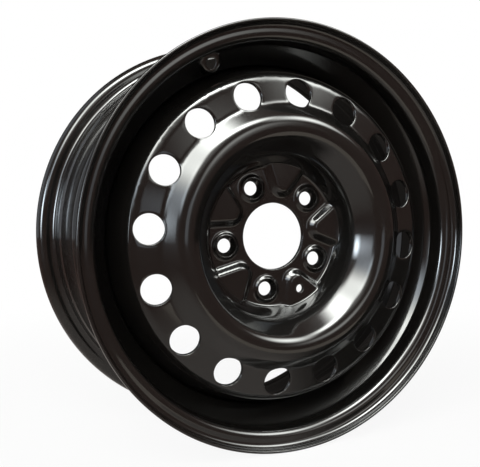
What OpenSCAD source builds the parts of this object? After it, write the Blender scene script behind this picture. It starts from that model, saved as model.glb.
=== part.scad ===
// Pressed-steel car wheel: a rolled rim barrel, a pressed disc with vents, bosses
// and stiffening pads, and the interrupted weld that holds the disc in the barrel.
// Lengths are in mm. The wheel's axis is Y, its outer side looks to -Y, and Z is up.
// Profiles are drawn as corners [radius, depth behind the outer lip, corner radius].

/* [Rim] */
// Nominal diameter over the bead seats
rim_d = 405.6; // [380:0.1:432]
// Width between the two flange faces
rim_w = 165.1; // [152.4:0.1:190.5]
// Thickness of the rim sheet
rim_t = 2.8; // [2.2:0.1:3.2]
// Height of a flange over its bead seat
flange_h = 17.3; // [16:0.1:19]
// Width of a curled flange, from its face to the end of its lip
flange_w = 13.6; // [12.5:0.1:15]
// Radius of the flange's curl, on the tyre side
curl_r = 9.5; // [8:0.5:11]
// Radius between flange and bead seat, on the tyre side
heel_r = 6.5; // [4:0.5:7]
// Length of a bead seat, from the flange face to the foot of its hump
seat_l = 14; // [12:0.5:18]
// Slope of a bead seat
seat_angle = 5; // [3:0.5:6]
// Height of the hump that keeps the bead on its seat
hump_h = 0.8; // [0.4:0.1:1.2]
// Length of the rise to the hump
hump_l = 4.5; // [4:0.5:6]
// Radius over the hump
hump_r = 7.5; // [7:0.5:8]

/* [Drop centre] */
// Depth of the drop centre under the bead seats
well_depth = 19.8; // [17:0.1:22]
// Length of the drop centre's floor
well_l = 31; // [26:0.5:34]
// Slope of the wall on the outer side
well_wall_angle = 40; // [36:1:46]
// Slope of the wall on the brake side
well_ramp_angle = 30; // [26:1:36]
// Radius at the feet of both walls, on the tyre side
well_r = 8; // [6:0.5:9]
// Height of the brake-side ledge over the drop centre's floor
ledge_h = 15.5; // [13:0.5:16]

/* [Valve hole] */
// Diameter of the valve hole
valve_d = 11.5; // [11.3:0.1:13]
// Radius from the wheel's axis to the middle of the valve seat
valve_pos_r = 191; // [190:0.5:192]
// Depth of the valve seat's middle behind the outer lip
valve_pos_d = 35; // [34.5:0.5:36]
// Turn of the valve hole about the axle
valve_turn = 113.8; // [-180:0.1:180]
// Tilt of the valve's axis towards the hub
valve_tilt = 20; // [15:1:25]
// Width of the flat land around the valve hole
valve_land = 3.4; // [3.3:0.1:3.8]

/* [Disc] */
// Thickness of the disc sheet
disc_t = 5; // [4:0.1:5.5]
// Distance from the middle of the rim to the hub face, towards the outer side
wheel_offset = 40; // [36:0.5:44]
// Radius of the flat hub plate, to the root of the bowl
hub_plate_r = 75.5; // [74:0.5:77]
// Radius at the root of the bowl
root_fillet = 4; // [2:0.5:5]
// Run of the bowl's wall, from its bend to the crown
bowl_run = 20; // [18:0.5:22]
// Height of the bowl's bend over the hub plate
bowl_bend_h = 26; // [24:0.5:28]
// Rounding of the bowl's bend
bowl_bend_fillet = 40; // [30:1:45]
// Width of the crown, between its two corners
crown_w = 16; // [15:0.5:18]
// Depth of the crown behind the outer lip
crown_d = 1.5; // [0:0.5:4]
// Rounding of the crown towards the bowl
crown_in_fillet = 17; // [12:0.5:18]
// Rounding of the crown towards the crease
crown_out_fillet = 15; // [10:0.5:16]
// Radius of the crease inside the vents
crease_r = 138.5; // [137:0.5:140]
// Run from the crown's outer corner to the crease
crease_run = 16.5; // [15:0.5:18]
// Drop from the crown to the crease
crease_drop = 14.5; // [13:0.5:16]
// Rounding in the crease
crease_fillet = 9; // [2:0.5:10]
// Slope of the vent band, back towards the rim
band_angle = 10; // [7:0.5:13]
// Radius of the shoulder, where the vent band turns down to the flange
shoulder_r = 169; // [168:0.5:170]
// Rounding of the shoulder
shoulder_fillet = 14; // [6:0.5:15]
// Rounding at the top of the axial flange
flange_fillet = 14; // [8:1:18]
// Length of the drop centre's floor that the disc's flange laps
flange_lap = 13; // [10:0.5:18]

/* [Hub and holes] */
// Diameter of the centre bore
bore_d = 71.5; // [66:0.1:74]
// Diameter of the bolt circle
bolt_circle_d = 114.3; // [112:0.1:116]
// Number of bolt holes and of stiffening pads
bolt_count = 5; // [4:1:5]
// Diameter of a bolt hole
bolt_hole_d = 15; // [13:0.1:16]
// Diameter of a bolt seat at the top of its boss
bolt_seat_d = 22; // [20:0.5:22.5]
// Cone angle of a bolt seat
bolt_seat_angle = 60; // [58:1:70]
// Height of a boss over the hub plate
boss_h = 3; // [2:0.1:3.5]
// Diameter of a boss at its foot
boss_d = 30; // [28:0.5:31]
// Width of the land around a bolt seat
boss_land = 0.5; // [0.2:0.1:1]
// Number of vent holes
vent_count = 16; // [12:1:18]
// Diameter of a vent hole
vent_d = 30; // [24:0.5:30.5]
// Radius from the wheel's axis to the middle of the vents
vent_pos_r = 149.3; // [148:0.1:151]
// Turn of the disc about the axle, which lines a bolt hole up with a vent
clocking = -27.3; // [-180:0.1:180]

/* [Stiffening pads] */
// Height of a pad over the hub plate
pad_h = 6.5; // [5:0.1:7]
// Radius from the wheel's axis to the tip of a pad's top
pad_tip_r = 49; // [48:0.5:51]
// Rounding of a pad's tip, at its top
pad_tip_fillet = 8; // [6:0.5:9]
// Angle between a pad's two sides
pad_angle = 59; // [54:1:62]
// Run of a pad's sloped sides
pad_run = 6.3; // [5.5:0.1:6.5]
// Setback of the pocket behind a pad from the pad's own outline
pocket_setback = 2; // [1:0.1:3]
// Diameter of the locating hole in one pad
locating_d = 9; // [6:0.5:10]
// Radius from the wheel's axis to the locating hole
locating_pos_r = 64.5; // [63:0.5:67]

/* [Weld] */
// Number of weld beads
weld_count = 8; // [4:1:12]
// Length of a bead, as an angle about the axle
weld_angle = 24; // [12:1:28]
// Leg of a bead along the barrel
weld_leg = 5; // [4:0.5:6]
// Leg of a bead across the edge of the disc's flange
weld_toe = 3.5; // [2.5:0.5:4]

/* [Hidden] */

// Fineness of round profile corners, and of whole turns
arc_step = 12;
$fn = 180;
// Overlap that keeps a cut clear of the face it starts from
cut = 1;
paint = "#1d1c1c";

wheel_w = rim_w + 2 * flange_w;
seat_r = rim_d / 2;
lip_r = seat_r + flange_h;
well_floor_r = seat_r - well_depth;
lap_r = well_floor_r - rim_t;

seat_end_r = seat_r - seat_l * tan(seat_angle);
hump_top_r = seat_end_r + hump_h;
seat_end_d = flange_w + seat_l;
hump_top_d = seat_end_d + hump_l;
well_front_d = hump_top_d + (hump_top_r - well_floor_r) / tan(well_wall_angle);
well_back_d = well_front_d + well_l;
ledge_r = well_floor_r + ledge_h;
ledge_d = well_back_d + ledge_h / tan(well_ramp_angle);

hub_d = wheel_w / 2 - wheel_offset - disc_t;
crown_out_r = crease_r - crease_run;
crown_in_r = crown_out_r - crown_w;
bowl_bend_r = crown_in_r - bowl_run;
crease_d = crown_d + crease_drop;
shoulder_d = crease_d + (shoulder_r - crease_r) * tan(band_angle);
vent_pos_d = crease_d + (vent_pos_r - crease_r) * tan(band_angle);
flange_end_d = well_front_d + flange_lap;

bolt_pitch = 360 / bolt_count;
pad_turn = clocking - bolt_pitch / 2;

// Tyre side of the rim, from the outer lip to the brake-side lip
rim_path = [
    [lip_r, 0, 0],
    [lip_r, flange_w, curl_r],
    [seat_r, flange_w, heel_r],
    [seat_end_r, seat_end_d, hump_r],
    [hump_top_r, hump_top_d, hump_r],
    [well_floor_r, well_front_d, well_r],
    [well_floor_r, well_back_d, well_r],
    [ledge_r, ledge_d, hump_r],
    [seat_end_r - hump_h, wheel_w - hump_top_d - hump_l, hump_r],
    [hump_top_r, wheel_w - hump_top_d, hump_r],
    [seat_end_r, wheel_w - seat_end_d, hump_r],
    [seat_r, wheel_w - flange_w, heel_r],
    [lip_r, wheel_w - flange_w, curl_r],
    [lip_r, wheel_w, 0],
];

// Outer side of the disc, from the centre bore to the end of the axial flange
disc_path = [
    [bore_d / 2, hub_d, 0],
    [hub_plate_r, hub_d, root_fillet],
    [bowl_bend_r, hub_d - bowl_bend_h, bowl_bend_fillet],
    [crown_in_r, crown_d, crown_in_fillet],
    [crown_out_r, crown_d, crown_out_fillet],
    [crease_r, crease_d, crease_fillet],
    [shoulder_r, shoulder_d, shoulder_fillet],
    [lap_r, well_front_d, flange_fillet],
    [lap_r, flange_end_d, 0],
];

// Unit vector along v
function unit(v) = v / norm(v);

// Vector v turned by an angle
function turned(v, angle) = [v.x * cos(angle) - v.y * sin(angle), v.x * sin(angle) + v.y * cos(angle)];

// Corner i of a path as a point
function corner(path, i) = [path[i].x, path[i].y];

// Direction of the stretch from corner i to the next one
function heading(path, i) = unit(corner(path, i + 1) - corner(path, i));

// The path moved sideways by t, inwards of a path that runs away from the outer side
function moved(path, t) = [
    for (i = [0 : len(path) - 1])
        let (
            into = heading(path, max(i - 1, 0)),
            out = heading(path, min(i, len(path) - 2)),
            n_into = [-into.y, into.x],
            n_out = [-out.y, out.x],
            shift = (n_into + n_out) * t / (1 + n_into * n_out)
        )
        [path[i].x + shift.x, path[i].y + shift.y, max(0, path[i].z - sign(cross(into, out)) * t)]
];

// Points of the arc that rounds corner b between a and c
function fillet(a, b, c, radius) =
    let (
        u = unit(a - b),
        v = unit(c - b),
        half = acos(u * v) / 2,
        centre = b + unit(u + v) * radius / sin(half),
        start = b + u * radius / tan(half) - centre,
        sweep = (180 - 2 * half) * sign(cross(b - a, c - b)),
        steps = ceil(abs(sweep) / arc_step)
    )
    radius == 0 ? [b] : [for (k = [0 : steps]) centre + turned(start, sweep * k / steps)];

// The path with its corners rounded
function rounded(path) = [
    corner(path, 0),
    for (i = [1 : len(path) - 2])
        each fillet(corner(path, i - 1), corner(path, i), corner(path, i + 1), path[i].z),
    corner(path, len(path) - 1),
];

// The points in the opposite order
function reversed(points) = [for (i = [len(points) - 1 : -1 : 0]) points[i]];

// Turns what is drawn with its depth along +Z into the wheel's own frame
module placed() {
    translate([0, -wheel_w / 2, 0]) rotate([90, 0, 0]) mirror([0, 0, 1]) children();
}

// Copies the children to every turn in a list, about the axle
module around(turns) {
    for (a = turns) rotate([0, 0, a]) children();
}

// Solid of revolution between two lines that run the same way
module revolved(line_a, line_b) {
    rotate_extrude() polygon(concat(line_a, reversed(line_b)));
}

// A tapered hole or boss on an axis along the depth, from one depth to another
module tapered(r, from_d, to_d, r_end = undef) {
    translate([0, 0, from_d]) cylinder(h = to_d - from_d, r1 = r, r2 = is_undef(r_end) ? r : r_end);
}

// Puts the children on the valve's axis, with the seat's face at depth zero
module on_valve_axis() {
    rotate([0, 0, valve_turn]) translate([valve_pos_r, 0, valve_pos_d]) rotate([0, valve_tilt, 0]) children();
}

// Everything inside the tyre side of the rim
module inside_rim() {
    rotate_extrude() polygon(concat([[0, 0]], rounded(rim_path), [[0, wheel_w]]));
}

// Dimple that gives the valve a flat seat, reaching back into the wall
module valve_dimple(r) {
    reach = well_front_d - valve_pos_d;
    tapered(r, 0, reach, r + rim_t);
}

// Rolled rim with its flanges, bead seats, drop centre and valve hole
module rim_barrel() {
    valve_r = valve_d / 2;
    land_r = valve_r + valve_land;
    color(paint) placed() difference() {
        union() {
            revolved(rounded(rim_path), rounded(moved(rim_path, rim_t)));
            intersection() {
                inside_rim();
                on_valve_axis() valve_dimple(land_r);
            }
        }
        on_valve_axis() {
            tapered(valve_r, -cut, rim_t + cut);
            tapered(land_r, -well_depth / 2, 0);
            tapered(land_r - rim_t, rim_t, well_l);
        }
    }
}

// Half width of a stiffening pad at its far end, when its top is grown sideways by run
function pad_half_width(run) =
    (bowl_bend_r - pad_tip_r - pad_tip_fillet) * tan(pad_angle / 2) + (pad_tip_fillet + run) / cos(pad_angle / 2);

// Outline of a pad grown sideways by run: two straight sides, a round tip, and a far end past the bowl's root
module pad_outline(run) {
    fillet_r = pad_tip_fillet + run;
    apex = pad_tip_r + pad_tip_fillet - fillet_r / sin(pad_angle / 2);
    ends = [for (side = [1, -1]) [bowl_bend_r, side * pad_half_width(run)]];
    polygon(concat(fillet(ends[1], [apex, 0], ends[0], fillet_r), ends));
}

// Stiffening pad, or the pocket behind one: sloped sides from a foot just under the plate's face up to the top
module pad_body(face_d, setback) {
    foot_run = pad_run * (pad_h + cut) / pad_h - setback;
    shrink = [
        (bowl_bend_r - pad_tip_r - setback) / (bowl_bend_r - pad_tip_r + foot_run),
        pad_half_width(-setback) / pad_half_width(foot_run),
    ];
    translate([bowl_bend_r, 0, face_d + cut]) mirror([0, 0, 1])
        linear_extrude(height = pad_h + cut, scale = shrink, slices = 1, $fn = 12)
            translate([-bowl_bend_r, 0]) pad_outline(foot_run);
}

// Everything in front of the middle of the disc sheet
module before_sheet() {
    middle = moved(disc_path, disc_t / 2);
    rotate_extrude() polygon(concat([[0, 0]], [[0, middle[0].y]], rounded(middle), [[lap_r, 0]]));
}

// Raised boss around a bolt hole, sunk a little into the plate
module bolt_boss() {
    top_r = bolt_seat_d / 2 + boss_land;
    flare = (boss_d / 2 - top_r) / boss_h;
    tapered(top_r, hub_d - boss_h, hub_d + cut, boss_d / 2 + flare * cut);
}

// Bolt hole with its conical seat
module bolt_hole() {
    seat_r = bolt_seat_d / 2;
    hole_r = bolt_hole_d / 2;
    top_d = hub_d - boss_h;
    seat_l = (seat_r - hole_r) / tan(bolt_seat_angle / 2);
    tapered(hole_r, top_d - cut, hub_d + disc_t + cut);
    tapered(seat_r, top_d, top_d + seat_l, hole_r);
}

// Vent punched square to the vent band
module vent_hole() {
    translate([vent_pos_r, 0, vent_pos_d]) rotate([0, -band_angle, 0]) tapered(vent_d / 2, -vent_d / 2, vent_d / 2);
}

// Pressed disc with hub plate, bosses, pads, bowl, crown, vents and axial flange
module wheel_disc() {
    bolt_turns = [for (i = [0 : bolt_count - 1]) clocking + i * bolt_pitch];
    pad_turns = [for (i = [0 : bolt_count - 1]) pad_turn + i * bolt_pitch];
    vent_turns = [for (i = [0 : vent_count - 1]) clocking + i * 360 / vent_count];
    back_d = hub_d + disc_t;
    color(paint) placed() difference() {
        union() {
            revolved(rounded(disc_path), rounded(moved(disc_path, disc_t)));
            intersection() {
                around(pad_turns) pad_body(hub_d, 0);
                before_sheet();
            }
            around(bolt_turns) translate([bolt_circle_d / 2, 0, 0]) bolt_boss();
        }
        around(pad_turns) pad_body(back_d, pocket_setback);
        around(bolt_turns) translate([bolt_circle_d / 2, 0, 0]) bolt_hole();
        around(vent_turns) vent_hole();
        around([pad_turn]) translate([locating_pos_r, 0, 0])
            tapered(locating_d / 2, hub_d - pad_h - cut, back_d + cut);
    }
}

// One bead of the fillet weld between the disc's flange and the barrel
module weld_bead(i) {
    color(paint) placed() rotate([0, 0, clocking + (i - 1) * 360 / weld_count - weld_angle / 2])
        rotate_extrude(angle = weld_angle)
            polygon([[lap_r, flange_end_d], [lap_r, flange_end_d + weld_leg], [lap_r - weld_toe, flange_end_d]]);
}

rim_barrel();
wheel_disc();
for (i = [1 : weld_count])
    weld_bead(i);
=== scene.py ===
"""Pressed-steel car wheel in black paint: smooth sheet surfaces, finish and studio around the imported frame.

All lengths are in metres. A profile is a list of corners (radius, depth behind the outer lip, corner
radius); the wheel's axis is Y, its outer side looks to -Y, and angles run from +X towards +Z.
"""

import math
from typing import NamedTuple

import bmesh
import bpy
import numpy as np
from bpy.props import FloatProperty, FloatVectorProperty, IntProperty, PointerProperty
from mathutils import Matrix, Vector


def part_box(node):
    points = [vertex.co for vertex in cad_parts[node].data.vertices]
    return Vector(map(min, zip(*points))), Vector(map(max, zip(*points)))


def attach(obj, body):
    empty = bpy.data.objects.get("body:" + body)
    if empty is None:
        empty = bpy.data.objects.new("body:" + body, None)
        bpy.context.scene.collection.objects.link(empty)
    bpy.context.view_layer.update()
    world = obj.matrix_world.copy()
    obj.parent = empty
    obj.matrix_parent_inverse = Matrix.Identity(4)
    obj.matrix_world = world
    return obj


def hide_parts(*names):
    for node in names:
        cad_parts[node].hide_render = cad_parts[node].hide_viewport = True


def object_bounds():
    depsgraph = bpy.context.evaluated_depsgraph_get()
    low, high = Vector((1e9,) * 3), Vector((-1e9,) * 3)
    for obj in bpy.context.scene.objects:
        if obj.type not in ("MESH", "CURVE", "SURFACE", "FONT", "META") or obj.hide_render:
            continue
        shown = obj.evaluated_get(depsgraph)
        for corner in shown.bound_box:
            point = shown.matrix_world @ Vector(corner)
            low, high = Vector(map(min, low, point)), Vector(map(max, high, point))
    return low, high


bl_info = {
    "name": "Pressed steel wheel",
    "version": (1, 0, 0),
    "blender": (4, 5, 0),
    "location": "3D View > Sidebar > Wheel",
    "description": "Builds a painted pressed-steel car wheel around its packed frame",
    "category": "Add Mesh",
}

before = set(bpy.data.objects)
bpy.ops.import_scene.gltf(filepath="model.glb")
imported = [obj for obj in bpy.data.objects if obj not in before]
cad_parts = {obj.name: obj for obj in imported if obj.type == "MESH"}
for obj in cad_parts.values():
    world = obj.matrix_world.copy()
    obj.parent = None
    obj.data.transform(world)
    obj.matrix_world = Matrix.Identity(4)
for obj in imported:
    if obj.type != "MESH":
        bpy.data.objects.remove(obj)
CAD_BOX = [list(corner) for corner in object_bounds()]
RIM_LOW, RIM_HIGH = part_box("rim_barrel")
DISC_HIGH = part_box("wheel_disc")[1]
BODY = "root"
WELDS = sorted(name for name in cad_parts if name.startswith("weld_bead_"))
WIDTH = RIM_HIGH[1] - RIM_LOW[1]


# Settings that a user would change


def length(name, text, default):
    """A length in metres for a settings group."""
    return FloatProperty(name=name, description=text, default=default, unit="LENGTH", precision=5)


def angle(name, text, degrees):
    """An angle for a settings group, given in degrees."""
    return FloatProperty(name=name, description=text, default=math.radians(degrees), subtype="ANGLE")


def colour(name, text, default):
    """A linear colour for a settings group."""
    return FloatVectorProperty(
        name=name, description=text, default=default, subtype="COLOR", size=3, min=0, max=1
    )


def number(name, text, default):
    """A plain number for a settings group."""
    return FloatProperty(name=name, description=text, default=default)


class RimSizes(bpy.types.PropertyGroup):
    """Sizes of the rolled rim barrel."""

    lip: length("Lip radius", "Radius over the flanges' lips", RIM_HIGH[0])
    flange: length("Flange height", "Height of a flange over its bead seat", 0.0173)
    flange_w: length("Flange width", "From a flange's face to the end of its lip", 0.0136)
    sheet: length("Sheet", "Thickness of the rim sheet", 0.0028)
    curl: length("Curl radius", "Radius of a flange's curl on the tyre side", 0.0095)
    heel: length("Heel radius", "Radius between flange and bead seat", 0.0065)
    seat: length("Seat length", "From the flange face to the foot of the hump", 0.014)
    seat_slope: angle("Seat slope", "Slope of a bead seat", 5)
    hump: length("Hump height", "Height of the hump over its foot", 0.0008)
    hump_l: length("Hump length", "Length of the rise to the hump", 0.0045)
    hump_r: length("Hump radius", "Radius over the hump", 0.0075)
    well: length("Well depth", "Depth of the drop centre under the bead seats", 0.0198)
    well_l: length("Well length", "Length of the drop centre's floor", 0.031)
    well_r: length("Well radius", "Radius at the feet of the well's walls", 0.008)
    wall_slope: angle("Wall slope", "Slope of the well's outer wall", 40)
    ramp_slope: angle("Ramp slope", "Slope of the well's brake-side wall", 30)
    ledge: length("Ledge height", "Height of the brake-side ledge over the well's floor", 0.0155)
    valve: length("Valve hole radius", "Radius of the valve hole", 0.00575)
    valve_land: length("Valve land", "Width of the flat land around the valve hole", 0.0034)
    valve_r: length("Valve place", "Radius from the axle to the valve seat", 0.191)
    valve_d: length("Valve depth", "Depth of the valve seat behind the outer lip", 0.035)
    valve_turn: angle("Valve turn", "Turn of the valve hole about the axle", 113.8)
    valve_tilt: angle("Valve tilt", "Tilt of the valve's axis towards the hub", 20)
    edge: length("Lip edge", "Rounding of the sheet's edge at the lips", 0.0012)


class DiscSizes(bpy.types.PropertyGroup):
    """Sizes of the pressed disc."""

    sheet: length("Sheet", "Thickness of the disc sheet", 0.005)
    hub_d: length("Hub depth", "Depth of the hub plate's outer face behind the outer lip", 0.05115)
    plate: length("Plate radius", "Radius of the hub plate, to the bowl's root", 0.0755)
    root: length("Root radius", "Rounding at the root of the bowl", 0.004)
    bend: length("Bend radius", "Radius from the axle to the bend in the bowl's wall", 0.086)
    bend_h: length("Bend height", "Height of that bend over the hub plate", 0.026)
    bend_round: length("Bend rounding", "Rounding of that bend", 0.040)
    crown_in: length("Crown inside", "Radius of the crown's inner corner", 0.106)
    crown_out: length("Crown outside", "Radius of the crown's outer corner", 0.122)
    crown_d: length("Crown depth", "Depth of the crown behind the outer lip", 0.0015)
    crown_bowl: length("Crown to bowl", "Rounding of the crown towards the bowl", 0.017)
    crown_crease: length("Crown to crease", "Rounding of the crown towards the crease", 0.015)
    crease: length("Crease radius", "Radius of the crease inside the vents", 0.1385)
    crease_drop: length("Crease drop", "Drop from the crown to the crease", 0.0145)
    crease_round: length("Crease rounding", "Rounding in the crease", 0.009)
    band_slope: angle("Band slope", "Slope of the vent band back towards the rim", 10)
    shoulder_r: length("Shoulder radius", "Radius where the vent band turns down to the flange", 0.169)
    shoulder: length("Shoulder rounding", "Rounding of the shoulder", 0.014)
    flange_d: length("Flange depth", "Depth where the axial flange starts behind the outer lip", 0.05519)
    flange_round: length("Flange rounding", "Rounding at the top of the axial flange", 0.014)
    bore: length("Bore radius", "Radius of the centre bore", 0.03575)
    edge: length("Edge rounding", "Rounding of the bore's and the flange's edges", 0.001)


class HubSizes(bpy.types.PropertyGroup):
    """Sizes of the holes, bosses and stiffening pads."""

    clocking: angle("Clocking", "Turn of the disc, which lines a bolt hole up with a vent", -27.3)
    bolts: IntProperty(name="Bolts", description="Number of bolt holes and of pads", default=5)
    bolt_circle: length("Bolt circle", "Radius of the bolt circle", 0.05715)
    bolt: length("Bolt hole", "Radius of a bolt hole", 0.0075)
    seat: length("Bolt seat", "Radius of a bolt seat at the top of its boss", 0.011)
    seat_angle: angle("Seat cone", "Cone angle of a bolt seat", 60)
    boss: length("Boss foot", "Radius of a boss at its foot", 0.015)
    boss_h: length("Boss height", "Height of a boss over the hub plate", 0.003)
    boss_land: length("Boss land", "Width of the land around a bolt seat", 0.0005)
    vents: IntProperty(name="Vents", description="Number of vent holes", default=16)
    vent: length("Vent radius", "Radius of a vent hole", 0.015)
    vent_r: length("Vent place", "Radius from the axle to the vents", 0.1493)
    pad_h: length("Pad height", "Height of a pad over the hub plate", 0.0065)
    pad_tip: length("Pad tip", "Radius from the axle to the tip of a pad's top", 0.049)
    pad_round: length("Pad rounding", "Rounding of a pad's tip", 0.008)
    pad_angle: angle("Pad angle", "Angle between a pad's two sides", 59)
    pad_run: length("Pad run", "Run of a pad's sloped sides", 0.0063)
    pocket: length("Pocket setback", "Setback of the pocket behind a pad", 0.002)
    locating: length("Locating hole", "Radius of the locating hole", 0.0045)
    locating_r: length("Locating place", "Radius from the axle to the locating hole", 0.0645)


class PaintLook(bpy.types.PropertyGroup):
    """Look of the black paint."""

    black: colour("Black", "Colour of the paint", (0.0045, 0.0040, 0.0036))
    dust: colour("Dust", "Colour of the thin haze on the paint", (0.014, 0.0125, 0.011))
    rough: number("Roughness", "Roughness of the paint", 0.3)
    coat: number("Coat", "Strength of the gloss over the colour", 1.0)
    peel: length("Peel size", "Size of the paint's fine waves", 0.0022)


class StudioLook(bpy.types.PropertyGroup):
    """Camera, floor and light."""

    floor: colour("Floor", "Colour of the floor", (0.86, 0.86, 0.86))
    white: number("White floor", "Share of plain white in the floor near the wheel, 0 to 1", 0.92)
    fade_near: length("Fade start", "Distance at which the floor starts to run out into the background", 0.35)
    fade_far: length("Fade end", "Distance at which the floor has run out into the background", 1.1)
    room: colour("Room", "Colour of the dim room in front, in reflections", (0.17, 0.11, 0.095))
    near: colour("Near floor", "Colour of the floor under the wheel, in reflections", (0.46, 0.42, 0.39))
    rug: colour("Far floor", "Colour of the floor some way in front, in reflections", (0.74, 0.66, 0.57))
    left: colour("Left", "Colour of the paler room at the left, in reflections", (0.50, 0.52, 0.56))
    dark: colour("Dark", "Colour of the room behind the wheel, in reflections", (0.03, 0.027, 0.025))
    white_light: colour("Light", "Colour of the lights over the camera", (0.97, 1.0, 0.96))
    window: colour("Window", "Colour of the cool windows at the left and in front", (0.80, 0.91, 1.0))
    azimuth: angle("Azimuth", "Direction of the camera about the vertical", -29.154)
    elevation: angle("Elevation", "Height of the camera over the axle", 3.563)
    distance: length("Distance", "From the camera to the middle of the outer lip", 0.7648)
    lens: number("Lens", "Focal length in millimetres on a 36 mm sensor", 56.507)
    shift_x: number("Shift X", "Sideways shift of the picture", -0.1183)
    shift_y: number("Shift Y", "Upward shift of the picture", 0.0108)


class WheelSettings(bpy.types.PropertyGroup):
    """All settings of the wheel."""

    rim: PointerProperty(type=RimSizes)
    disc: PointerProperty(type=DiscSizes)
    hub: PointerProperty(type=HubSizes)
    paint: PointerProperty(type=PaintLook)
    studio: PointerProperty(type=StudioLook)


def settings():
    """The settings of the current scene."""
    return bpy.context.scene.steel_wheel


# Profiles

ARC_STEP = math.radians(7)
QUARTER = np.linspace(0, math.pi / 2, 4)


def unit(v):
    """The vector divided by its length."""
    return v / np.linalg.norm(v)


def sampled(corners, arc_step, line_step):
    """Points and left-hand normals along a line of corners that are rounded to arcs.

    An arc of radius R in a corner of half angle h starts R / tan(h) before the corner and has its
    centre R / sin(h) along the bisector; it gets a point for every arc_step radians, and a straight
    stretch one for every line_step metres.
    """
    corners = np.asarray(corners, float)
    points, normals = [], []
    left = np.array([[0.0, -1.0], [1.0, 0.0]])
    start = corners[0, :2]
    for k in range(1, len(corners)):
        corner, radius = corners[k, :2], corners[k, 2]
        into = unit(corner - start)
        stop, arc = corner, None
        if k < len(corners) - 1:
            out = unit(corners[k + 1, :2] - corner)
            turn = math.atan2(into[0] * out[1] - into[1] * out[0], into @ out)
            reach = radius * math.tan(abs(turn) / 2)
            stop = corner - into * reach
            centre = stop + left @ into * radius * math.copysign(1, turn)
            count = max(2, math.ceil(abs(turn) / arc_step))
            turns = turn * np.arange(1, count + 1) / count
            arc = (centre, stop - centre, turns, into)
        count = max(1, math.ceil(np.linalg.norm(stop - start) / line_step))
        steps = np.arange(0 if k == 1 else 1, count + 1)[:, None] / count
        points.append(start + (stop - start) * steps)
        normals.append(np.repeat((left @ into)[None], len(steps), 0))
        if arc is not None:
            centre, spoke, turns, into = arc
            c, s = np.cos(turns)[:, None], np.sin(turns)[:, None]
            quarter = np.array([-1.0, 1.0])
            points.append(centre + spoke * c + spoke[::-1] * quarter * s)
            normals.append((left @ into) * c + (left @ into)[::-1] * quarter * s)
            start = points[-1][-1]
    return np.concatenate(points), np.concatenate(normals)


def rounded_edge(face, back, outward, radius):
    """Points that take the sheet's edge round from its face to its back.

    Two quarter circles of the given radius, which bulge outward from points set back by that radius.
    """
    across = unit(back - face)
    bend = QUARTER[:, None]
    first = face + outward * radius * np.sin(bend) + across * radius * (1 - np.cos(bend))
    second = back + outward * radius * np.sin(bend) - across * radius * (1 - np.cos(bend))
    return np.concatenate([first[1:], second[::-1][:-1]])


class Section:
    """Closed section of a sheet: its face line, the far edge, its back line and the near edge."""

    def __init__(self, corners, sheet, edge, arc_step, line_step):
        self.face, normals = sampled(corners, arc_step, line_step)
        self.back = self.face + normals * sheet
        self.count = len(self.face)
        far = rounded_edge(self.face[-1], self.back[-1], unit(self.face[-1] - self.face[-2]), edge)
        near = rounded_edge(self.back[0], self.face[0], unit(self.face[0] - self.face[1]), edge)
        self.loop = np.concatenate([self.face, far, self.back[::-1], near])
        self.back_start = self.count + len(far)

    def line(self, side):
        """The face or the back line."""
        return self.face if side == "face" else self.back

    def row(self, side, k):
        """Index in the loop of face or back sample k."""
        return k if side == "face" else self.back_start + self.count - 1 - k


# Sheets with holes


class Hole:
    """Frame of a hole: a and b run across it, n along its axis towards the brake side."""

    def __init__(self, turn, radius, depth, tilt):
        self.turn, self.radius, self.depth, self.tilt = turn, radius, depth, tilt

    def across(self, r, d):
        """Distance a from the axis of a profile point in the hole's own plane through the axle."""
        return (r - self.radius) * math.cos(self.tilt) - (d - self.depth) * math.sin(self.tilt)

    def local(self, points):
        """Coordinates a, b and n of points given in the wheel's frame."""
        x, d, z = points[..., 0], points[..., 1] + WIDTH / 2, points[..., 2]
        c, s = math.cos(self.turn), math.sin(self.turn)
        out, b = x * c + z * s, z * c - x * s
        a = self.across(out, d)
        n = (out - self.radius) * math.sin(self.tilt) + (d - self.depth) * math.cos(self.tilt)
        return a, b, n

    def world(self, a, b, n):
        """Points in the wheel's frame of coordinates a, b and n."""
        out = self.radius + a * math.cos(self.tilt) + n * math.sin(self.tilt)
        d = self.depth - a * math.sin(self.tilt) + n * math.cos(self.tilt)
        c, s = math.cos(self.turn), math.sin(self.turn)
        return np.stack([out * c - b * s, d - WIDTH / 2, out * s + b * c], -1)

    def on_line(self, line, a, b):
        """Height n, along the hole's axis, of the surface that a profile line sweeps, at a and b.

        At a sideways distance b a point of radius r lies r - sqrt(r^2 - b^2) nearer to the axle, so the
        place on the line is found from a plus that amount, three times over.
        """
        key = self.across(line[:, 0], line[:, 1])
        order = np.argsort(key)
        key, r_line, d_line = key[order], line[order, 0], line[order, 1]
        r = np.interp(a, key, r_line)
        for _ in range(3):
            dip = r - np.sqrt(r * r - b * b)
            r = np.interp(a + dip * math.cos(self.tilt), key, r_line)
        d = np.interp(a + dip * math.cos(self.tilt), key, d_line)
        out = np.sqrt(r * r - b * b)
        return (out - self.radius) * math.sin(self.tilt) + (d - self.depth) * math.cos(self.tilt)


def swept(loop, turns):
    """Grid of points: the section's point (r, d) at turn t is (r cos t, d - W / 2, r sin t)."""
    r, d = loop[:, 0:1], loop[:, 1:2]
    return np.stack([r * np.cos(turns), np.repeat(d, len(turns), 1) - WIDTH / 2, r * np.sin(turns)], -1)


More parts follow.
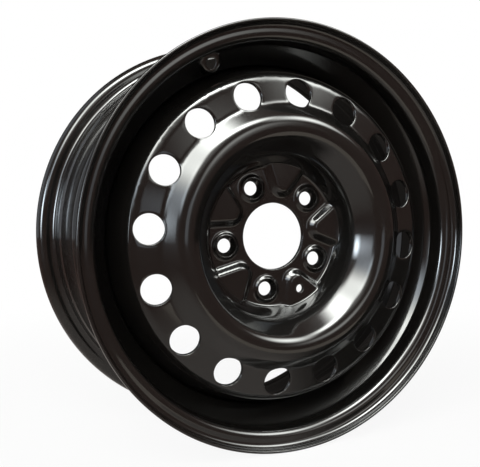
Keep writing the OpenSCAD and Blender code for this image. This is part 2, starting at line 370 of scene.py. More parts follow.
class Sheet:
    """Mesh of a swept section, in which blocks of the grid are replaced by tubes around holes."""

    def __init__(self, section, turns):
        self.section, self.columns = section, len(turns)
        self.grid = swept(section.loop, turns)
        self.kept = np.ones(self.grid.shape[:2], bool)
        self.extra, self.quads = [], []
        self.size = self.grid.shape[0] * self.columns

    def border(self, side, rows, column, reach):
        """Vertex numbers around the block of rows from rows[0] to rows[1], reach columns to each side."""
        low, high = rows
        cols = np.arange(column - reach, column + reach + 1)
        ks = np.arange(low, high + 1)
        wide, deep = len(cols) - 1, len(ks) - 1
        k = np.concatenate([np.full(wide, low), ks[:-1], np.full(wide, high), ks[:0:-1]])
        j = np.concatenate([cols[:-1], np.full(deep, cols[-1]), cols[:0:-1], np.full(deep, cols[0])])
        return self.section.row(side, k) * self.columns + j % self.columns

    def open_block(self, side, rows, column, reach):
        """Takes the grid's faces out of a block and returns the numbers around it."""
        ends = [self.section.row(side, k) for k in rows]
        cols = np.arange(column - reach, column + reach) % self.columns
        self.kept[min(ends) : max(ends)][:, cols] = False
        return self.border(side, rows, column, reach)

    def tube(self, first, layers, last):
        """Joins two open blocks by layers of points, each as long as the block's border."""
        count = len(first)
        numbers = self.size + np.arange(len(layers) * count).reshape(len(layers), count)
        self.extra.append(np.concatenate(layers))
        self.size += numbers.size
        ring = np.concatenate([first[None], numbers, last[None]])
        side = np.roll(ring, -1, 1)
        self.quads.append(np.stack([ring[:-1], side[:-1], side[1:], ring[1:]], -1).reshape(-1, 4))

    def mesh(self, name):
        """The finished mesh, smooth shaded, with its faces turned outwards and no loose points."""
        rows = self.grid.shape[0]
        cells = grid_cells(rows, self.columns, rows)
        quads = np.concatenate([cells[self.kept]] + self.quads)
        points = np.concatenate([self.grid.reshape(-1, 3)] + self.extra)
        used, numbers = np.unique(quads, return_inverse=True)
        return made_mesh(name, points[used], numbers.reshape(-1, 4))


def grid_cells(rows, columns, count):
    """Corner numbers of the cells that start in the first count rows of a grid, which closes both ways."""
    i, j = np.meshgrid(np.arange(count), np.arange(columns), indexing="ij")
    down, along = (i + 1) % rows, (j + 1) % columns
    return np.stack([i * columns + j, i * columns + along, down * columns + along, down * columns + j], -1)


def made_mesh(name, points, quads):
    """A smooth mesh from arrays of points and four-cornered faces, with its faces turned outwards."""
    mesh = bpy.data.meshes.new(name)
    mesh.vertices.add(len(points))
    mesh.vertices.foreach_set("co", np.ascontiguousarray(points, np.float32).ravel())
    mesh.loops.add(quads.size)
    mesh.loops.foreach_set("vertex_index", np.ascontiguousarray(quads, np.int32).ravel())
    mesh.polygons.add(len(quads))
    mesh.polygons.foreach_set("loop_start", np.arange(0, quads.size, 4, dtype=np.int32))
    mesh.update(calc_edges=True)
    faces = bmesh.new()
    faces.from_mesh(mesh)
    bmesh.ops.recalc_face_normals(faces, faces=faces.faces)
    faces.to_mesh(mesh)
    faces.free()
    mesh.polygons.foreach_set("use_smooth", np.ones(len(mesh.polygons), bool))
    mesh.validate()
    return mesh


def ring_of(a, b, radius):
    """Points of a circle in the same directions as the given ones."""
    reach = np.hypot(a, b)
    return a / reach * radius, b / reach * radius


def first_past(values, limit):
    """Number of the first of the values that reaches a limit."""
    return int(np.argmax(values >= limit))


def smooth_max(p, q, blend):
    """The larger of two values, with the step between them rounded over the length blend."""
    return np.maximum(p, q) + np.maximum(blend - np.abs(p - q), 0) ** 2 / (4 * blend)


def smooth_step(x):
    """Rises smoothly from 0 at x = 0 to 1 at x = 1."""
    x = np.clip(x, 0, 1)
    return x * x * (3 - 2 * x)


# Rim barrel

RIM_COLUMNS = 360
RIM_LINE_STEP = 0.006

# Valve: its block's depth before and behind the hole and columns to each side, then its dimple and edge
VALVE_BEFORE, VALVE_BEHIND, VALVE_COLUMNS = 0.015, 0.025, 6
VALVE_RINGS = 20
VALVE_SKIRT = 0.004
VALVE_ROUND = 0.0006


def rim_corners(s):
    """Corners of the rim's tyre side, from the outer lip to the brake-side lip."""
    seat = s.lip - s.flange
    seat_end = seat - s.seat * math.tan(s.seat_slope)
    hump = seat_end + s.hump
    seat_d = s.flange_w + s.seat
    hump_d = seat_d + s.hump_l
    floor = seat - s.well
    well_d = hump_d + (hump - floor) / math.tan(s.wall_slope)
    ledge_d = well_d + s.well_l + s.ledge / math.tan(s.ramp_slope)
    return [
        (s.lip, s.edge, 0),
        (s.lip, s.flange_w, s.curl),
        (seat, s.flange_w, s.heel),
        (seat_end, seat_d, s.hump_r),
        (hump, hump_d, s.hump_r),
        (floor, well_d, s.well_r),
        (floor, well_d + s.well_l, s.well_r),
        (floor + s.ledge, ledge_d, s.hump_r),
        (seat_end - s.hump, WIDTH - hump_d - s.hump_l, s.hump_r),
        (hump, WIDTH - hump_d, s.hump_r),
        (seat_end, WIDTH - seat_d, s.hump_r),
        (seat, WIDTH - s.flange_w, s.heel),
        (s.lip, WIDTH - s.flange_w, s.curl),
        (s.lip, WIDTH - s.edge, 0),
    ]


def rim_mesh(s):
    """The rim barrel: its closed section swept about the axle, with a dimple and hole for the valve.

    Around the valve the height n of each wall along the valve's axis is blended, over a round skirt
    outside the land, to the flat seat at n = 0 on the hub side and n = sheet on the tyre side.
    """
    section = Section(rim_corners(s), s.sheet, s.edge, ARC_STEP, RIM_LINE_STEP)
    turns = s.valve_turn + np.arange(RIM_COLUMNS) * math.tau / RIM_COLUMNS
    sheet = Sheet(section, turns)
    hole = Hole(s.valve_turn, s.valve_r, s.valve_d, s.valve_tilt)
    land = s.valve + s.valve_land
    middle = section.count // 2
    depths = section.face[:middle, 1]
    rows = first_past(depths, s.valve_d - VALVE_BEFORE), first_past(depths, s.valve_d + VALVE_BEHIND)

    def rings(side, seat, step):
        """One side's block border, and the rings from there over skirt and seat round into the hole."""
        border = sheet.open_block(side, rows, 0, VALVE_COLUMNS)
        a0, b0, _ = hole.local(sheet.grid.reshape(-1, 3)[border])
        a1, b1 = ring_of(a0, b0, land)
        line = section.line(side)[:middle]
        layers = []
        for t in np.linspace(0, 1, VALVE_RINGS + 1)[1:]:
            a, b = a0 + (a1 - a0) * t, b0 + (b1 - b0) * t
            share = smooth_step((land + VALVE_SKIRT - np.hypot(a, b)) / VALVE_SKIRT)
            layers.append(hole.world(a, b, hole.on_line(line, a, b) * (1 - share) + seat * share))
        for t in QUARTER:
            a, b = ring_of(a0, b0, s.valve + VALVE_ROUND * (1 - math.sin(t)))
            level = seat + step * VALVE_ROUND * (1 - math.cos(t))
            layers.append(hole.world(a, b, np.full_like(a, level)))
        return border, layers

    first, down = rings("back", 0.0, 1)
    last, up = rings("face", s.sheet, -1)
    sheet.tube(first, down + up[::-1], last)
    return sheet.mesh("rim_barrel_paint")


# Disc

DISC_COLUMNS = 320
DISC_LINE_STEP = 0.0019
FINE_ARC_STEP = ARC_STEP / 8
PAD_TOP_BLEND, PAD_FOOT_BLEND = 0.0016, 0.0018
BOSS_TOP_BLEND, BOSS_FOOT_BLEND = 0.0006, 0.0012


class Cut(NamedTuple):
    """How a kind of hole is cut: its block's margins and columns, its edge and its rings of points."""

    inner: float
    outer: float
    columns: int
    round_off: float
    face_rings: int
    back_rings: int


VENT_CUT = Cut(0.004, 0.003, 8, 0.0009, 4, 3)
BOLT_CUT = Cut(0.0005, 0.0005, 14, 0.0004, 9, 5)
LOCATING_CUT = Cut(0.002, 0.002, 6, 0.0005, 3, 3)


def disc_corners(s):
    """Corners of the disc's outer side, from the centre bore to the end of the axial flange."""
    lap = DISC_HIGH[0]
    crease_d = s.crown_d + s.crease_drop
    end_d = DISC_HIGH[1] + WIDTH / 2
    return [
        (s.bore + s.edge, s.hub_d, 0),
        (s.plate, s.hub_d, s.root),
        (s.bend, s.hub_d - s.bend_h, s.bend_round),
        (s.crown_in, s.crown_d, s.crown_bowl),
        (s.crown_out, s.crown_d, s.crown_crease),
        (s.crease, crease_d, s.crease_round),
        (s.shoulder_r, crease_d + (s.shoulder_r - s.crease) * math.tan(s.band_slope), s.shoulder),
        (lap, s.flange_d, s.flange_round),
        (lap, end_d - s.edge, 0),
    ]


def pad_reach(h, x, z):
    """Distance of points from the outline of the nearest pad's top, negative inside it.

    The outline is a wedge with its point at the middle of the round tip, grown by the tip's rounding.
    """
    pitch = math.tau / h.bolts
    turn = np.arctan2(z, x) - h.clocking - pitch / 2
    turn = np.abs((turn + pitch / 2) % pitch - pitch / 2)
    r = np.hypot(x, z)
    along, aside = r * np.cos(turn) - h.pad_tip - h.pad_round, r * np.sin(turn)
    c, s = math.cos(h.pad_angle / 2), math.sin(h.pad_angle / 2)
    beside = aside * c - along * s
    past = along * c + aside * s
    return np.where((past > 0) | (beside < 0), beside, np.hypot(along, aside)) - h.pad_round


def boss_reach(h, x, z):
    """Distance of points from the axis of the nearest bolt hole."""
    pitch = math.tau / h.bolts
    turn = np.arctan2(z, x) - h.clocking
    turn = (turn + pitch / 2) % pitch - pitch / 2
    r = np.hypot(x, z)
    return np.hypot(r * np.cos(turn) - h.bolt_circle, r * np.sin(turn))


def pressed(s, h, side, points):
    """The points with the pads, and on the outer side the bosses, raised from the hub plate.

    A pad is a plane at its own height whose sides fall by that height over their run; the higher of
    the plate, the bowl and the pad holds, with rounded steps.
    """
    x, y, z = points[..., 0], points[..., 1] + WIDTH / 2, points[..., 2]
    plate = s.hub_d + (s.sheet if side == "back" else 0)
    base = plate - y
    reach = pad_reach(h, x, z) + (h.pocket if side == "back" else 0)
    pad = -smooth_max(np.full_like(reach, -h.pad_h), h.pad_h * (reach / h.pad_run - 1), PAD_TOP_BLEND)
    height = smooth_max(base, pad, PAD_FOOT_BLEND)
    if side == "face":
        top = h.seat + h.boss_land
        cone = h.boss_h * (h.boss - boss_reach(h, x, z)) / (h.boss - top)
        boss = -smooth_max(np.full_like(cone, -h.boss_h), -cone, BOSS_TOP_BLEND)
        height = smooth_max(height, boss, BOSS_FOOT_BLEND)
    inside = np.hypot(x, z) < s.crown_in
    moved = points.copy()
    moved[..., 1] = np.where(inside, plate - height, y) - WIDTH / 2
    return moved


def disc_mesh(s, h):
    """The pressed disc: its closed section swept about the axle, pressed, with all its holes.

    A hole's tube runs from a block of the outer face over a rounded edge, down the hole and over a
    rounded edge to the same block of the back.
    """
    section = Section(disc_corners(s), s.sheet, s.edge, ARC_STEP, DISC_LINE_STEP)
    fine = Section(disc_corners(s), s.sheet, s.edge, FINE_ARC_STEP, DISC_LINE_STEP)
    turns = h.clocking + np.arange(DISC_COLUMNS) * math.tau / DISC_COLUMNS
    sheet = Sheet(section, turns)
    for side, start in (("face", 0), ("back", section.back_start)):
        rows = slice(start, start + section.count)
        sheet.grid[rows] = pressed(s, h, side, sheet.grid[rows])
    flat = sheet.grid.reshape(-1, 3)
    radii = section.face[:, 0]

    def height(hole, side, a, b, shaped):
        """Height n of the sheet around a hole: in the pressed hub plate if shaped, else in the vent band."""
        line = fine.line(side)
        if not shaped:
            band = (line[:, 0] > s.crown_in) & (line[:, 1] < s.flange_d)
            return hole.on_line(line[band], a, b)
        level = hole.on_line(line[line[:, 0] < s.bend], a, b)
        return hole.local(pressed(s, h, side, hole.world(a, b, level)))[2]

    def rings(hole, side, rows, column, cut, radius, shaped):
        """A block's border, the rings from there over the rounded edge, and the border's a and b."""
        border = sheet.open_block(side, rows, column, cut.columns)
        a0, b0, _ = hole.local(flat[border])
        a1, b1 = ring_of(a0, b0, radius + cut.round_off)
        step, count = (1, cut.face_rings) if side == "face" else (-1, cut.back_rings)
        made = []
        for t in np.linspace(0, 1, count + 1)[1:]:
            a, b = a0 + (a1 - a0) * t, b0 + (b1 - b0) * t
            made.append(hole.world(a, b, height(hole, side, a, b, shaped)))
        level = height(hole, side, a1, b1, shaped)
        for t in QUARTER[1:]:
            a, b = ring_of(a0, b0, radius + cut.round_off * (1 - math.sin(t)))
            made.append(hole.world(a, b, level + step * cut.round_off * (1 - math.cos(t))))
        return border, made, (a0, b0)

    def block(place, reach, cut):
        """First and last row of the block around holes of a given reach at a place."""
        return first_past(radii, place - reach - cut.inner), first_past(radii, place + reach + cut.outer)

    def cut_hole(hole, rows, column, cut, mouth, radius, shaped, cone_end=None):
        """Joins face and back through a hole; a cone seat narrows from its mouth down to n = cone_end."""
        first, down, (a0, b0) = rings(hole, "face", rows, column, cut, mouth, shaped)
        if cone_end is not None:
            a, b = ring_of(a0, b0, radius)
            down.append(hole.world(a, b, np.full_like(a, cone_end)))
        last, up, _ = rings(hole, "back", rows, column, cut, radius, shaped)
        sheet.tube(first, down + up[::-1], last)

    vent_d = s.crown_d + s.crease_drop + (h.vent_r - s.crease) * math.tan(s.band_slope)
    rows = block(h.vent_r, h.vent, VENT_CUT)
    for k in range(h.vents):
        hole = Hole(h.clocking + k * math.tau / h.vents, h.vent_r, vent_d, -s.band_slope)
        cut_hole(hole, rows, k * (DISC_COLUMNS // h.vents), VENT_CUT, h.vent, h.vent, False)

    rows = block(h.bolt_circle, h.boss, BOLT_CUT)
    cone_end = (h.seat - h.bolt) / math.tan(h.seat_angle / 2) - h.boss_h
    for k in range(h.bolts):
        hole = Hole(h.clocking + k * math.tau / h.bolts, h.bolt_circle, s.hub_d, 0)
        cut_hole(hole, rows, k * (DISC_COLUMNS // h.bolts), BOLT_CUT, h.seat, h.bolt, True, cone_end)

    rows = block(h.locating_r, h.locating, LOCATING_CUT)
    column = DISC_COLUMNS - DISC_COLUMNS // h.bolts // 2
    hole = Hole(h.clocking - math.pi / h.bolts, h.locating_r, s.hub_d - h.pad_h, 0)
    cut_hole(hole, rows, column, LOCATING_CUT, h.locating, h.locating, True)
    return sheet.mesh("wheel_disc_paint")


# Weld beads

# Half of a bead's turn about the axle, its toe and bulge as shares of the leg, its ripples and its grid
WELD_HALF = math.radians(12)
WELD_TOE = 0.7
WELD_BULGE, WELD_BULGE_SHARE = 0.22, 0.7
RIPPLE_LENGTH, RIPPLE_DEPTH, RIPPLE_LAG = 0.003, 0.05, 0.8
WELD_ROWS, WELD_POINTS = 121, 13
MERGE_DISTANCE = 1e-6


def weld_mesh(name, leg, middle):
    """One weld bead in the corner between flange edge and barrel, at the turn of its middle.

    The section is a triangle with a bulging free side; along the bead it swells from nothing at the
    ends as the fourth root of 1 - v^4 and carries ripples, one for every ripple length.
    """
    lap, start = DISC_HIGH[0], DISC_HIGH[1]
    toe = WELD_TOE * leg
    v = np.linspace(-1, 1, WELD_ROWS)[:, None]
    swell = np.maximum(1 - v**4, 0.0) ** 0.25
    waves = v * WELD_HALF * lap / RIPPLE_LENGTH
    ripple = 1 + RIPPLE_DEPTH * np.sin(waves * math.tau + RIPPLE_LAG * swell)
    t = np.linspace(0, 1, WELD_POINTS)[None, :]
    bulge = WELD_BULGE * np.sin(math.pi * t) * WELD_BULGE_SHARE
    corner = np.zeros((len(v), 1))
    inward = np.concatenate([(t + bulge) * ripple, corner], 1) * toe * swell
    depth = np.concatenate([(1 - t + bulge) * ripple, corner], 1) * leg * swell
    turn = middle + v * WELD_HALF
    r = lap - np.clip(inward, 0, toe)
    points = np.stack([r * np.cos(turn), start + np.clip(depth, 0, leg), r * np.sin(turn)], -1)
    rows, columns = points.shape[:2]
    quads = grid_cells(rows, columns, rows - 1).reshape(-1, 4)
    mesh = made_mesh(name, points.reshape(-1, 3), quads)
    closed = bmesh.new()
    closed.from_mesh(mesh)
    bmesh.ops.remove_doubles(closed, verts=closed.verts, dist=MERGE_DISTANCE)
    bmesh.ops.dissolve_degenerate(closed, edges=closed.edges, dist=MERGE_DISTANCE)
    bmesh.ops.recalc_face_normals(closed, faces=closed.faces)
    closed.to_mesh(mesh)
    closed.free()
    mesh.polygons.foreach_set("use_smooth", np.ones(len(mesh.polygons), bool))
    return mesh


# Materials

# Grain sizes in metres, then the noises' shares in colour, roughness and bump, and the clear coat
HAZE_SIZE, SPECK_SIZE, WAVE_SIZE = 0.045, 0.006, 0.012
HAZE_START, HAZE_SHARE = 0.42, 0.5
HAZE_ROUGH, SPECK_ROUGH = 0.10, 0.04
WAVE_SHARE = 1.2
COAT_ROUGH, COAT_IOR = 0.075, 1.62
UNDERCOAT_SPECULAR = 0.1
WELD_ROUGH = 0.1
SHEET_PEEL, WELD_PEEL = 0.00002, 0.00005


class Value:
    """A socket in a material's node tree, with operators that add Math nodes."""

    def __init__(self, tree, socket):
        self.tree, self.socket = tree, socket

    def node(self, kind, settings=None, **inputs):
        """Adds a node, sets its settings, then its sockets by name or number, and returns it."""
        made = self.tree.nodes.new(kind)
        for key, value in (settings or {}).items():
            setattr(made, key, value)
        for key, value in inputs.items():
            slot = made.inputs[int(key[1:])] if key[0] == "_" else made.inputs[key.replace("_", " ")]
            if isinstance(value, Value):
                self.tree.links.new(value.socket, slot)
            else:
                slot.default_value = value
        return made

    def out(self, made, name=0):
        """An output of a node as a value."""
        return Value(self.tree, made.outputs[name])

    def math(self, operation, *values):
        """A Math node of this value and others."""
        sockets = {f"_{k}": value for k, value in enumerate((self, *values))}
        return self.out(self.node("ShaderNodeMath", {"operation": operation}, **sockets))

    def __add__(self, other):
        return self.math("ADD", other)

    def __mul__(self, other):
        return self.math("MULTIPLY", other)

    def __sub__(self, other):
        return self.math("SUBTRACT", other)

    def __rsub__(self, other):
        return (self * -1.0).math("ADD", other)

    __radd__, __rmul__ = __add__, __mul__


def new_material(name):
    """An empty material with its shader, and a value to build nodes from."""
    material = bpy.data.materials.new(name)
    material.use_nodes = True
    tree = material.node_tree
    shader = tree.nodes["Principled BSDF"]
    coords = tree.nodes.new("ShaderNodeTexCoord")
    return material, tree, shader, Value(tree, coords.outputs["Object"])


def smooth_range(value, start, end, low, high):
    """A value that runs smoothly from low to high as the given one goes from start to end."""
    ends = {"_1": start, "_2": end, "_3": low, "_4": high}
    made = value.node("ShaderNodeMapRange", {"interpolation_type": "SMOOTHSTEP"}, Value=value, **ends)
    return value.out(made)


def noise(at, size, detail, rough=0.5):
    """Noise of about the given grain size, from 0 to 1."""
    made = at.node("ShaderNodeTexNoise", None, Vector=at, Scale=1.0 / size, Detail=detail, Roughness=rough)
    return at.out(made)


def black_paint(name, look, extra_rough=0.0, peel_height=SHEET_PEEL):
    """Black paint under a clear coat: near-black colour with a faint haze, uneven gloss and fine waves.

    Haze noise mixes in the dust colour; haze and speck noise around their mean move the roughness.
    """
    material, tree, shader, at = new_material(name)
    haze = noise(at, HAZE_SIZE, detail=4.0, rough=0.6)
    speck = noise(at, SPECK_SIZE, detail=3.0, rough=0.55)
    mix = at.node(
        "ShaderNodeMix",
        {"data_type": "RGBA"},
        _0=(haze - HAZE_START) * HAZE_SHARE,
        _6=(*look.black, 1.0),
        _7=(*look.dust, 1.0),
    )
    tree.links.new(mix.outputs[2], shader.inputs["Base Color"])
    uneven = (haze - 0.5) * HAZE_ROUGH + (speck - 0.5) * SPECK_ROUGH
    rough = uneven + (look.rough + extra_rough)
    tree.links.new(rough.socket, shader.inputs["Roughness"])
    peel = noise(at, look.peel, detail=1.0) + noise(at, WAVE_SIZE, detail=2.0) * WAVE_SHARE
    bump = at.node("ShaderNodeBump", None, Strength=1.0, Distance=peel_height, Height=peel)
    tree.links.new(bump.outputs["Normal"], shader.inputs["Normal"])
    shader.inputs["Coat Weight"].default_value = look.coat
    shader.inputs["Coat Roughness"].default_value = COAT_ROUGH
    shader.inputs["Coat IOR"].default_value = COAT_IOR
    shader.inputs["Specular IOR Level"].default_value = UNDERCOAT_SPECULAR
    return material


# Operators


def dressed(name, mesh, material, slot, *nodes):
    """Adds a piece that stands for CAD nodes and rides with the wheel."""
    piece = bpy.data.objects.new(name, mesh)
    bpy.context.scene.collection.objects.link(piece)
    mesh.materials.append(material)
    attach(piece, BODY)
    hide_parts(*nodes)


class WHEEL_OT_rim(bpy.types.Operator):
    """Build the rolled rim barrel with its valve hole"""

    bl_idname = "steel_wheel.rim"
    bl_label = "Rim barrel"

    def execute(self, context):
        s = settings()
        paint = black_paint("rim_black", s.paint)
        dressed("rim_barrel_sheet", rim_mesh(s.rim), paint, "rim_paint", "rim_barrel")
        return {"FINISHED"}


class WHEEL_OT_disc(bpy.types.Operator):
    """Build the pressed disc with its vents, bosses and pads"""

    bl_idname = "steel_wheel.disc"
    bl_label = "Pressed disc"

    def execute(self, context):
        s = settings()
        paint = black_paint("disc_black", s.paint)
        dressed("wheel_disc_sheet", disc_mesh(s.disc, s.hub), paint, "disc_paint", "wheel_disc")
        return {"FINISHED"}


class WHEEL_OT_welds(bpy.types.Operator):
    """Build the weld beads between disc and barrel"""

    bl_idname = "steel_wheel.welds"
    bl_label = "Weld beads"

    def execute(self, context):
        s = settings()
        paint = black_paint("weld_black", s.paint, WELD_ROUGH, WELD_PEEL)
        for k, name in enumerate(WELDS):
            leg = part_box(name)[1][1] - DISC_HIGH[1]
            middle = s.hub.clocking + k * math.tau / len(WELDS)
            dressed(name + "_rippled", weld_mesh(name + "_mesh", leg, middle), paint, "weld_paint", name)
        return {"FINISHED"}


# Stage

FLOOR_REACH = 30.0
FLOOR_ROUGH = 0.9
SENSOR_WIDTH = 36
SKY_LEVEL = 0.2
CARD_CELLS = 96
CARD_LIFT = 0.002
PLATE_DISTANCE = 3.0

# Walls in reflections: name, colour, azimuths in degrees from and to
ROOM_WALL, ROOM_TOP = 3.4, 6.0
WALLS = (
    ("room_front", "room", -100, 112),
    ("room_left", "left", -150, -100),
    ("room_back", "dark", 112, 210),
)

# Floor in reflections: name, colour, azimuths in degrees from and to, radii from and to
LEFT_AZ, FRONT_AZ, FADE_AZ, RIGHT_AZ, BACK_AZ = -150, -12, 4, 44, 210
INNER_R, NEAR_R, FRONT_R, RUG_R, LEFT_R = 0.06, 0.22, 0.34, 0.66, 0.70
FADE_STEPS = 12
NEAR_FLOOR = (
    ("room_near", "near", LEFT_AZ, FADE_AZ, INNER_R, NEAR_R),
    ("room_near_front", "near", FRONT_AZ, FADE_AZ, NEAR_R, FRONT_R),
)
FAR_FLOOR = (
    ("room_rug", "rug", FRONT_AZ, RIGHT_AZ, FRONT_R, RUG_R),
    ("room_floor_left", "room", LEFT_AZ, FRONT_AZ, LEFT_R, ROOM_WALL),
    ("room_floor_front", "room", FRONT_AZ, RIGHT_AZ, RUG_R, ROOM_WALL),
    ("room_floor_back", "dark", RIGHT_AZ, BACK_AZ, INNER_R, ROOM_WALL),
)

# Soft plates in reflections: name, colour, azimuth and elevation in degrees, size, softness, strength
PLATES = (
    ("light_wide", "white_light", -38, 42, (3.6, 3.0), 1.0, 1.3),
    ("light_middle", "white_light", -52, 40, (1.7, 1.9), 1.0, 14.0),
    ("light_top", "white_light", -18, 63, (4.2, 1.7), 1.0, 30.0),
    ("light_left", "window", -72, 8, (1.3, 1.6), 1.0, 26.0),
    ("light_left_high", "window", -54, 22, (1.3, 1.5), 1.0, 5.5),
    ("light_right", "white_light", 44, 40, (2.2, 2.0), 1.0, 14.0),
    ("light_front", "white_light", 16, 14, (1.8, 1.5), 1.0, 3.0),
    ("light_low", "window", 4, 1, (1.5, 0.9), 0.6, 0.9),
)


def direction(azimuth, elevation):
    """Unit vector from the wheel towards an azimuth and elevation, in degrees."""
    a, e = math.radians(azimuth), math.radians(elevation)
    return Vector((math.sin(a) * math.cos(e), -math.cos(a) * math.cos(e), math.sin(e)))


def soft_light(name, azimuth, elevation, distance, size, radiance, tint):
    """An area lamp that faces the wheel, of a given brightness as seen in a reflection."""
    lamp = bpy.data.lights.new(name, "AREA")
    lamp.shape = "RECTANGLE"
    lamp.size, lamp.size_y = size
    lamp.energy = radiance * math.pi * size[0] * size[1]
    lamp.color = tint
    light = bpy.data.objects.new(name, lamp)
    back = direction(azimuth, elevation)
    light.location = back * distance
    light.rotation_euler = back.to_track_quat("Z", "Y").to_euler()
    bpy.context.scene.collection.objects.link(light)
    return light


def plane(name, x, y, z):
    """A flat mesh of one face that reaches x and y to each side of the origin, at height z."""
    mesh = bpy.data.meshes.new(name)
    mesh.from_pydata([(-x, -y, z), (x, -y, z), (x, y, z), (-x, y, z)], [], [(0, 1, 2, 3)])
    return mesh


def staged(name, mesh, material, mirrored_only=True):
    """Adds a piece of the stage; one that is mirrored only shows in reflections and casts no shadow."""
    mesh.materials.append(material)
    made = bpy.data.objects.new(name, mesh)
    if mirrored_only:
        made.visible_camera = made.visible_diffuse = made.visible_shadow = False
    bpy.context.scene.collection.objects.link(made)
    return made


class WHEEL_OT_stage(bpy.types.Operator):
    """Set up the floor, the dim room in front, the lights and the camera"""

    bl_idname = "steel_wheel.stage"
    bl_label = "Stage"

    def execute(self, context):
        look = settings().studio
        self.floor(look)
        self.room(look)
        self.world()
        self.lights(look)
        self.camera(look)
        context.scene.view_settings.view_transform = "Standard"
        return {"FINISHED"}

    def seen(self, tree):
        """1 for rays of the camera, of reflections and through glass, 0 for all other light."""
        path = tree.nodes.new("ShaderNodeLightPath")
        seen = Value(tree, path.outputs["Is Camera Ray"])
        for name in ("Is Glossy Ray", "Is Transmission Ray"):
            seen = seen.math("MAXIMUM", Value(tree, path.outputs[name]))
        return seen

    def floor(self, look):
        """A wide pale floor under the lowest lip, which runs out into the white background."""
        mesh = plane("floor", FLOOR_REACH, FLOOR_REACH, CAD_BOX[0][2])
        material, tree, shader, at = new_material("floor_white")
        shader.inputs["Base Color"].default_value = (*look.floor, 1)
        shader.inputs["Roughness"].default_value = FLOOR_ROUGH
        shader.inputs["Specular IOR Level"].default_value = 0.0
        away = at.node("ShaderNodeVectorMath", {"operation": "LENGTH"}, _0=at)
        fade = smooth_range(at.out(away, "Value"), look.fade_near, look.fade_far, look.white, 1.0)
        white = at.node("ShaderNodeEmission", None, Color=(1, 1, 1, 1), Strength=1.0)
        share = self.seen(tree) * fade
        mix = at.node("ShaderNodeMixShader", None, _0=share, _1=at.out(shader), _2=at.out(white))
        tree.links.new(mix.outputs[0], tree.nodes["Material Output"].inputs[0])
        staged("floor", mesh, material, mirrored_only=False)

    def card(self, name, tint, from_az, to_az, near, far):
        """A bent card that only reflections see.

        Its grid runs in azimuth from from_az to to_az degrees, and from the radius and height near to
        the radius and height far.
        """
        a = np.radians(np.linspace(from_az, to_az, CARD_CELLS + 1))[None, :]
        t = np.array([0.0, 1.0])[:, None]
        r, z = near[0] + (far[0] - near[0]) * t, near[1] + (far[1] - near[1]) * t
        points = np.stack([r * np.sin(a), -r * np.cos(a), z + 0 * a], -1).reshape(-1, 3)
        j = np.arange(CARD_CELLS)
        quads = np.stack([j, j + 1, j + CARD_CELLS + 2, j + CARD_CELLS + 1], -1)
        material, tree, shader, at = new_material(name)
        tree.nodes.remove(shader)
        light = at.node("ShaderNodeEmission", None, Color=(*tint, 1))
        tree.links.new(light.outputs[0], tree.nodes["Material Output"].inputs[0])
        mesh = bpy.data.meshes.new(name)
        mesh.from_pydata(points.tolist(), [], quads.tolist())
        staged(name, mesh, material)

    def glow(self, name, tint, azimuth, elevation, size, soft, strength):
        """A bright clear plate that only reflections see, with edges that are soft over a share of its size.

        It adds its light to what lies behind it, so plates that overlap leave no edge.
        """
        x, y = size[0] / 2, size[1] / 2
        material, tree, shader, at = new_material(name)
        tree.nodes.remove(shader)
        parts = at.node("ShaderNodeSeparateXYZ", None, _0=at)
        share = 1.0
        for k, half in enumerate((x, y)):
            away = at.out(parts, k).math("ABSOLUTE")
            share = smooth_range(away, half * (1 - soft), half, 1.0, 0.0) * share
        clear = at.out(at.node("ShaderNodeBsdfTransparent"))
        light = at.out(at.node("ShaderNodeEmission", None, Color=(*tint, 1), Strength=strength))
        lit = at.out(at.node("ShaderNodeAddShader", None, _0=clear, _1=light))
        mix = at.node("ShaderNodeMixShader", None, _0=share, _1=clear, _2=lit)
        tree.links.new(mix.outputs[0], tree.nodes["Material Output"].inputs[0])
        plate = staged(name, plane(name, x, y, 0), material)
        back = direction(azimuth, elevation)
        plate.location = back * PLATE_DISTANCE
        plate.rotation_euler = back.to_track_quat("Z", "Y").to_euler()

    def room(self, look):
        """The dim room in the paint's reflections: walls, ceiling, floor, and the windows as soft plates.

        In small steps the floor fades from near to room outwards at the left, and from near to dark
        around the wheel at the right.
        """
        ground = CAD_BOX[0][2] + CARD_LIFT
        for name, tint, *azimuths in WALLS:
            self.card(name, getattr(look, tint), *azimuths, (ROOM_WALL, ground), (ROOM_WALL, ROOM_TOP))
        self.card("room_ceiling", look.room, -180, 180, (0.0, ROOM_TOP), (ROOM_WALL, ROOM_TOP))
        self.floor_cards(look, NEAR_FLOOR, ground)
        near, room, dark = (np.array(tint) for tint in (look.near, look.room, look.dark))
        radii = np.linspace(NEAR_R, LEFT_R, FADE_STEPS + 1)
        azimuths = np.linspace(FADE_AZ, RIGHT_AZ, FADE_STEPS + 1)
        for k in range(FADE_STEPS):
            share = smooth_step((k + 0.5) / FADE_STEPS)
            ends = [(r, ground) for r in radii[k : k + 2]]
            self.card(f"room_floor_step_{k + 1}", near + (room - near) * share, LEFT_AZ, FRONT_AZ, *ends)
            ends = (INNER_R, ground), (FRONT_R, ground)
            self.card(f"room_near_step_{k + 1}", near + (dark - near) * share, *azimuths[k : k + 2], *ends)
        self.floor_cards(look, FAR_FLOOR, ground)
        for name, tint, *values in PLATES:
            self.glow(name, getattr(look, tint), *values)

    def floor_cards(self, look, rows, ground):
        """Cards that lie on the ground, one for each row."""
        for name, tint, from_az, to_az, inner, outer in rows:
            self.card(name, getattr(look, tint), from_az, to_az, (inner, ground), (outer, ground))

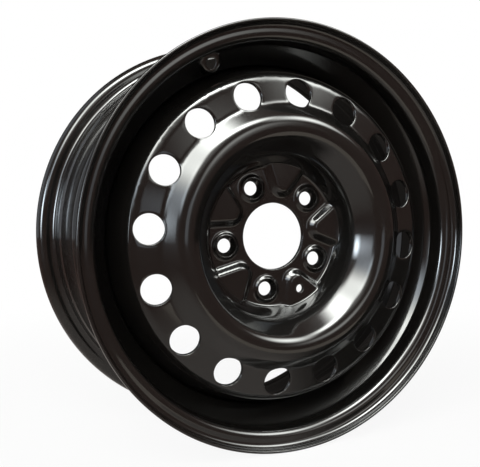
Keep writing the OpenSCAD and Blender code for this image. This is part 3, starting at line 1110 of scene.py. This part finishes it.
    def world(self):
        """White for the camera and for reflections, plain soft light for everything else."""
        world = bpy.data.worlds.new("studio")
        bpy.context.scene.world = world
        world.use_nodes = True
        tree = world.node_tree
        sky = tree.nodes["Background"]
        sky.inputs["Color"].default_value = (1, 1, 1, 1)
        tree.links.new((self.seen(tree) * (1 - SKY_LEVEL) + SKY_LEVEL).socket, sky.inputs["Strength"])

    def lights(self, look):
        """One wide lamp where the reflected windows are, which itself isn't seen in reflections."""
        lamp = soft_light(
            "front_panel",
            azimuth=-42,
            elevation=40,
            distance=3.2,
            size=(3.0, 2.0),
            radiance=6.0,
            tint=look.white_light,
        )
        lamp.visible_glossy = False

    def camera(self, look):
        """A camera at the photograph's angle, with its picture shifted as the framing needs."""
        data = bpy.data.cameras.new("camera")
        data.lens, data.sensor_width = look.lens, SENSOR_WIDTH
        data.shift_x, data.shift_y = look.shift_x, look.shift_y
        data.clip_start = 0.01
        camera = bpy.data.objects.new("camera", data)
        back = direction(math.degrees(look.azimuth), math.degrees(look.elevation))
        camera.location = Vector((0, -WIDTH / 2, 0)) + back * look.distance
        camera.rotation_euler = back.to_track_quat("Z", "Y").to_euler()
        bpy.context.scene.collection.objects.link(camera)
        bpy.context.scene.camera = camera


class WHEEL_PT_panel(bpy.types.Panel):
    """Lists the wheel's settings and steps"""

    bl_label = "Pressed steel wheel"
    bl_idname = "WHEEL_PT_panel"
    bl_space_type = "VIEW_3D"
    bl_region_type = "UI"
    bl_category = "Wheel"

    def draw(self, context):
        for group in ("rim", "disc", "hub", "paint", "studio"):
            box = self.layout.box()
            box.label(text=group.capitalize())
            values = getattr(settings(), group)
            for name in values.__annotations__:
                box.prop(values, name)
        for step in OPERATORS:
            self.layout.operator(step.bl_idname)


GROUPS = (RimSizes, DiscSizes, HubSizes, PaintLook, StudioLook, WheelSettings)
OPERATORS = (WHEEL_OT_rim, WHEEL_OT_disc, WHEEL_OT_welds, WHEEL_OT_stage)


def register():
    """Registers the classes and hangs the settings on the scene."""
    for cls in (*GROUPS, *OPERATORS, WHEEL_PT_panel):
        bpy.utils.register_class(cls)
    bpy.types.Scene.steel_wheel = PointerProperty(type=WheelSettings)


def unregister():
    """Takes the settings and the classes away again."""
    del bpy.types.Scene.steel_wheel
    for cls in reversed((*GROUPS, *OPERATORS, WHEEL_PT_panel)):
        bpy.utils.unregister_class(cls)


def main():
    """Builds the wheel step by step."""
    register()
    bpy.ops.steel_wheel.rim()
    bpy.ops.steel_wheel.disc()
    bpy.ops.steel_wheel.welds()
    bpy.ops.steel_wheel.stage()


if __name__ == "__main__":
    main()
